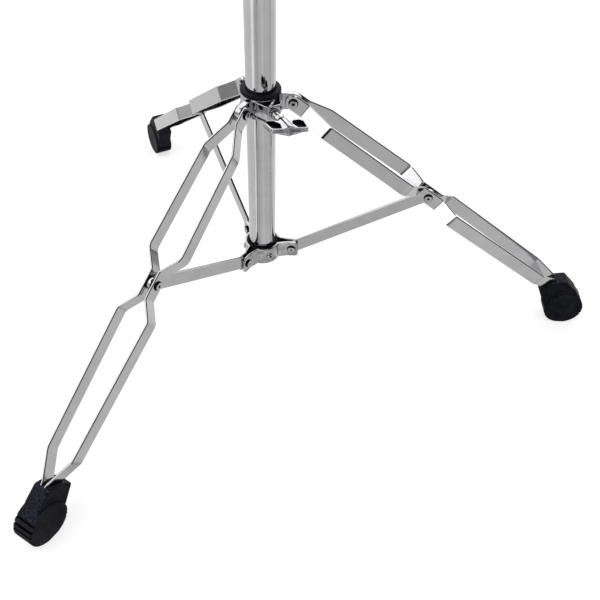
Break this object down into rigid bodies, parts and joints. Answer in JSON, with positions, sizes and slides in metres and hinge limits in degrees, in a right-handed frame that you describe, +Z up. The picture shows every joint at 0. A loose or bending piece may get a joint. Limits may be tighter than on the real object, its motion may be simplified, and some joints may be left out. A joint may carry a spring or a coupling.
{
  "type": "double-braced tripod base of a tom and cymbal stand",
  "caption": "Double-braced folding tripod base of a drum hardware stand: base tube, sliding cast hub with wing screw, bent double-strip legs, flat braces and rubber feet.",
  "frame": {"origin": "middle of the part's footprint on the floor", "axes": "+Z up along the base tube, +X from the tube towards leg 1, +Y completes the right-handed frame"},
  "size_m": [0.6395, 0.7384, 0.52],
  "materials": {
    "tube_chrome": "polished chromed steel tube",
    "strip_chrome": "polished chromed steel strip",
    "plate_chrome": "chromed pressed steel",
    "fastener_chrome": "chromed rivets and screws",
    "cast_chrome": "chromed zinc casting",
    "black_plastic": "moulded black plastic",
    "black_rubber": "moulded black rubber"
  },
  "bodies": {
    "base": {"base_tube": "tube_chrome", "lower_hub_sleeve": "black_plastic", "lower_hub_plate_1": "plate_chrome", "lower_hub_plate_2": "plate_chrome", "lower_hub_plate_3": "plate_chrome", "lower_hub_screw_1": "fastener_chrome", "lower_hub_screw_2": "fastener_chrome", "lower_hub_screw_3": "fastener_chrome", "lower_hub_rivet_1": "fastener_chrome", "lower_hub_rivet_2": "fastener_chrome", "lower_hub_rivet_3": "fastener_chrome"},
    "hub": {"leg_hub": "cast_chrome", "hub_bush": "black_plastic", "hub_rivet_1": "fastener_chrome", "hub_rivet_2": "fastener_chrome", "hub_rivet_3": "fastener_chrome"},
    "wing_screw": {"clamp_screw": "fastener_chrome", "wing_grip": "cast_chrome"},
    "leg_1": {"leg_1_left_strip": "strip_chrome", "leg_1_right_strip": "strip_chrome", "leg_1_left_rivet": "fastener_chrome", "leg_1_right_rivet": "fastener_chrome", "leg_1_left_washer": "black_plastic", "leg_1_right_washer": "black_plastic", "leg_1_foot": "black_rubber"},
    "leg_2": {"leg_2_left_strip": "strip_chrome", "leg_2_right_strip": "strip_chrome", "leg_2_left_rivet": "fastener_chrome", "leg_2_right_rivet": "fastener_chrome", "leg_2_left_washer": "black_plastic", "leg_2_right_washer": "black_plastic", "leg_2_foot": "black_rubber"},
    "leg_3": {"leg_3_left_strip": "strip_chrome", "leg_3_right_strip": "strip_chrome", "leg_3_left_rivet": "fastener_chrome", "leg_3_right_rivet": "fastener_chrome", "leg_3_left_washer": "black_plastic", "leg_3_right_washer": "black_plastic", "leg_3_foot": "black_rubber"},
    "brace_1": {"brace_1": "strip_chrome"},
    "brace_2": {"brace_2": "strip_chrome"},
    "brace_3": {"brace_3": "strip_chrome"}
  },
  "joints": [
    {"name": "hub_slide", "type": "slide", "parent": "base", "child": "hub", "axis": [0, 0, 1], "range_m": [0, 0.1715]},
    {"name": "leg_1_fold", "type": "hinge", "parent": "hub", "child": "leg_1", "pos_m": [-0.0651, 0, 0.30481], "axis": [0, 1, 0], "range_deg": [0, 52.1]},
    {"name": "leg_2_fold", "type": "hinge", "parent": "hub", "child": "leg_2", "pos_m": [-0.117, 0.02996, 0.30481], "axis": [-0.866, -0.5, 0], "range_deg": [0, 52.1]},
    {"name": "leg_3_fold", "type": "hinge", "parent": "hub", "child": "leg_3", "pos_m": [-0.117, -0.02996, 0.30481], "axis": [0.866, -0.5, 0], "range_deg": [0, 52.1]},
    {"name": "brace_1_fold", "type": "hinge", "parent": "base", "child": "brace_1", "pos_m": [-0.0632, 0, 0.09959], "axis": [0, -1, 0], "range_deg": [0, 58.52]},
    {"name": "brace_2_fold", "type": "hinge", "parent": "base", "child": "brace_2", "pos_m": [-0.11795, 0.03161, 0.09959], "axis": [0.866, 0.5, 0], "range_deg": [0, 58.52]},
    {"name": "brace_3_fold", "type": "hinge", "parent": "base", "child": "brace_3", "pos_m": [-0.11795, -0.03161, 0.09959], "axis": [-0.866, 0.5, 0], "range_deg": [0, 58.52]},
    {"name": "wing_turn", "type": "hinge", "parent": "hub", "child": "wing_screw", "pos_m": [-0.0824, -0.02996, 0.30481], "axis": [0.5, -0.866, 0], "range_deg": [0, 360]}
  ],
  "couplings": [
    {"joint": "leg_1_fold", "follows": "hub_slide", "rad_per_m": 5.2994},
    {"joint": "leg_2_fold", "follows": "hub_slide", "rad_per_m": 5.2994},
    {"joint": "leg_3_fold", "follows": "hub_slide", "rad_per_m": 5.2994},
    {"joint": "brace_1_fold", "follows": "hub_slide", "rad_per_m": 5.9515},
    {"joint": "brace_2_fold", "follows": "hub_slide", "rad_per_m": 5.9515},
    {"joint": "brace_3_fold", "follows": "hub_slide", "rad_per_m": 5.9515}
  ]
}
